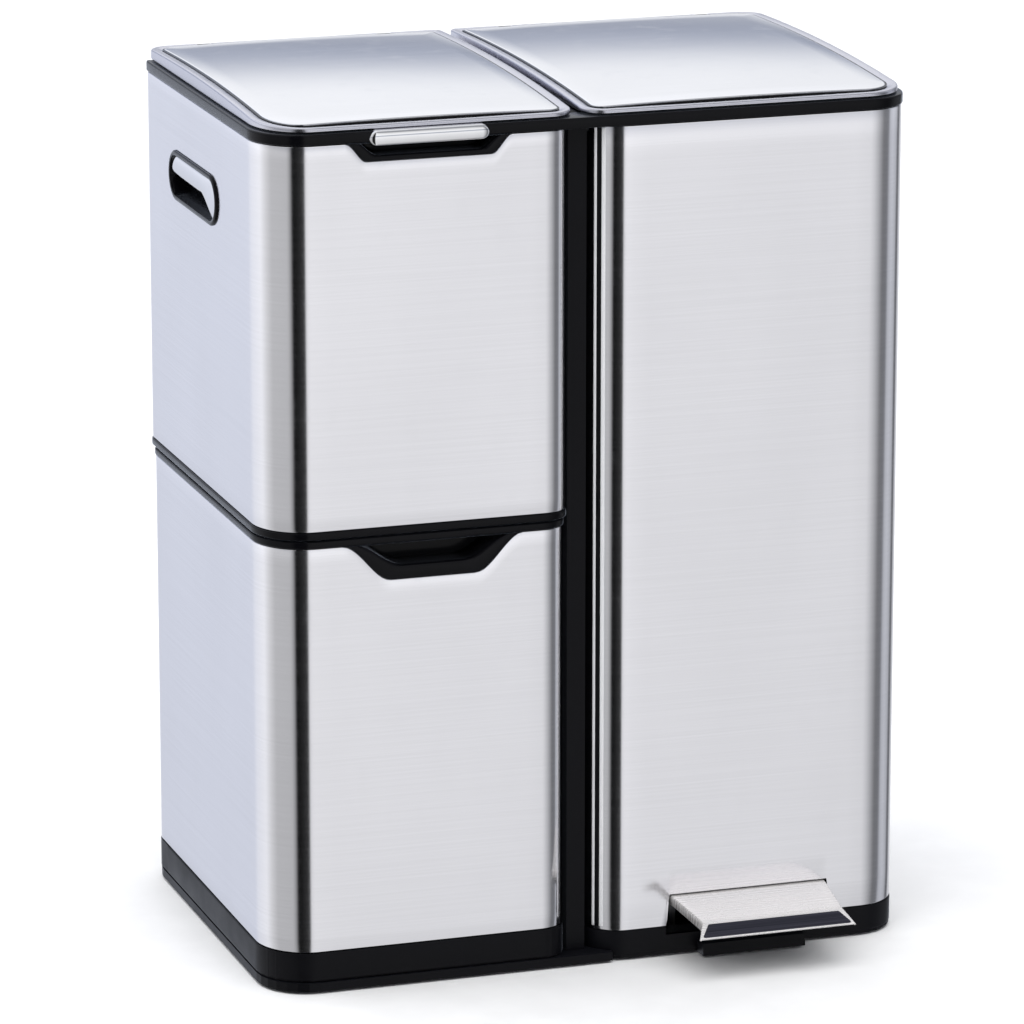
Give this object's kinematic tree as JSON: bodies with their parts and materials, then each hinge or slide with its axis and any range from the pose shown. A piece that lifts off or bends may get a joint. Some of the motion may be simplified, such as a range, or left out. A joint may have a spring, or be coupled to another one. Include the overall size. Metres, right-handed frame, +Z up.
{
  "type": "step bin",
  "caption": "Free-standing stainless-steel recycling bin: tall pedal-lidded side, hand-lidded upper bucket and pull-out lower drawer.",
  "frame": {"origin": "on the floor, in the middle of the bounding box seen from above", "axes": "+X to the right of someone facing the front, the front and the pedal face -Y, +Z up"},
  "size_m": [0.498, 0.3958, 0.6511],
  "materials": {
    "steel": "brushed stainless sheet, vertical grain",
    "chrome": "polished",
    "gloss_black": "gloss black moulding",
    "matte_black": "satin black moulding",
    "bucket_grey": "dark grey moulding",
    "foot_rubber": "matt",
    "zinc_steel": "zinc plated"
  },
  "bodies": {
    "cabinet": {"base": "matte_black", "foot_1": "foot_rubber", "foot_2": "foot_rubber", "foot_3": "foot_rubber", "foot_4": "foot_rubber", "foot_5": "foot_rubber", "foot_6": "foot_rubber", "right_shell": "steel", "upper_left_shell": "steel", "centre_frame": "matte_black", "rear_panel": "matte_black", "rear_screw_1": "zinc_steel", "rear_screw_2": "zinc_steel", "rear_screw_3": "zinc_steel", "rear_screw_4": "zinc_steel", "upper_shelf": "matte_black", "compartment_floor": "matte_black", "middle_trim": "gloss_black", "collar": "gloss_black", "grip_pocket": "gloss_black", "handle_cup_left": "gloss_black", "handle_hood_left": "chrome", "handle_cup_right": "gloss_black", "handle_hood_right": "chrome", "bucket_upper": "bucket_grey", "bucket_upper_handle": "zinc_steel", "bucket_right": "bucket_grey", "bucket_right_handle": "zinc_steel", "rod_guide_low": "matte_black", "rod_guide_high": "matte_black", "pedal_axle": "zinc_steel", "axle_bracket_left": "zinc_steel", "axle_bracket_right": "zinc_steel", "drawer_rail_left": "zinc_steel", "drawer_rail_right": "zinc_steel", "hinge_bracket_left_1": "matte_black", "hinge_bracket_left_2": "matte_black", "hinge_bracket_right_1": "matte_black", "hinge_bracket_right_2": "matte_black", "hinge_pin_left_1": "zinc_steel", "hinge_pin_left_2": "zinc_steel", "hinge_pin_right_1": "zinc_steel", "hinge_pin_right_2": "zinc_steel"},
    "lid_right": {"lid_frame_right": "gloss_black", "lid_panel_right": "steel", "lid_crank": "zinc_steel"},
    "lid_left": {"lid_frame_left": "gloss_black", "lid_panel_left": "steel", "lid_lip": "chrome"},
    "pedal": {"pedal_plate": "steel", "pedal_body": "matte_black", "pedal_lever": "zinc_steel"},
    "lift_rod": {"lift_rod": "zinc_steel", "rod_head": "matte_black"},
    "drawer": {"drawer_base": "matte_black", "drawer_shell": "steel", "drawer_rim": "gloss_black", "bucket_drawer": "bucket_grey", "bucket_drawer_handle": "zinc_steel"}
  },
  "joints": [
    {"name": "lid_right_hinge", "type": "hinge", "parent": "cabinet", "child": "lid_right", "pos_m": [0.12325, 0.1901, 0.64305], "axis": [-1, 0, 0], "range_deg": [0, 76]},
    {"name": "pedal_pivot", "type": "hinge", "parent": "cabinet", "child": "pedal", "pos_m": [0.12325, -0.0729, 0.03096], "axis": [1, 0, 0], "range_deg": [0, 8.98]},
    {"name": "lift_rod_slide", "type": "slide", "parent": "cabinet", "child": "lift_rod", "axis": [0, 0, 1], "range_m": [0, 0.03694]},
    {"name": "lid_left_hinge", "type": "hinge", "parent": "cabinet", "child": "lid_left", "pos_m": [-0.12812, 0.1901, 0.64305], "axis": [-1, 0, 0], "range_deg": [0, 76]},
    {"name": "drawer_slide", "type": "slide", "parent": "cabinet", "child": "drawer", "axis": [0, -1, 0], "range_m": [0, 0.25]}
  ],
  "couplings": [
    {"joint": "pedal_pivot", "follows": "lid_right_hinge", "ratio": 0.11803},
    {"joint": "lift_rod_slide", "follows": "lid_right_hinge", "m_per_rad": 0.027848}
  ]
}
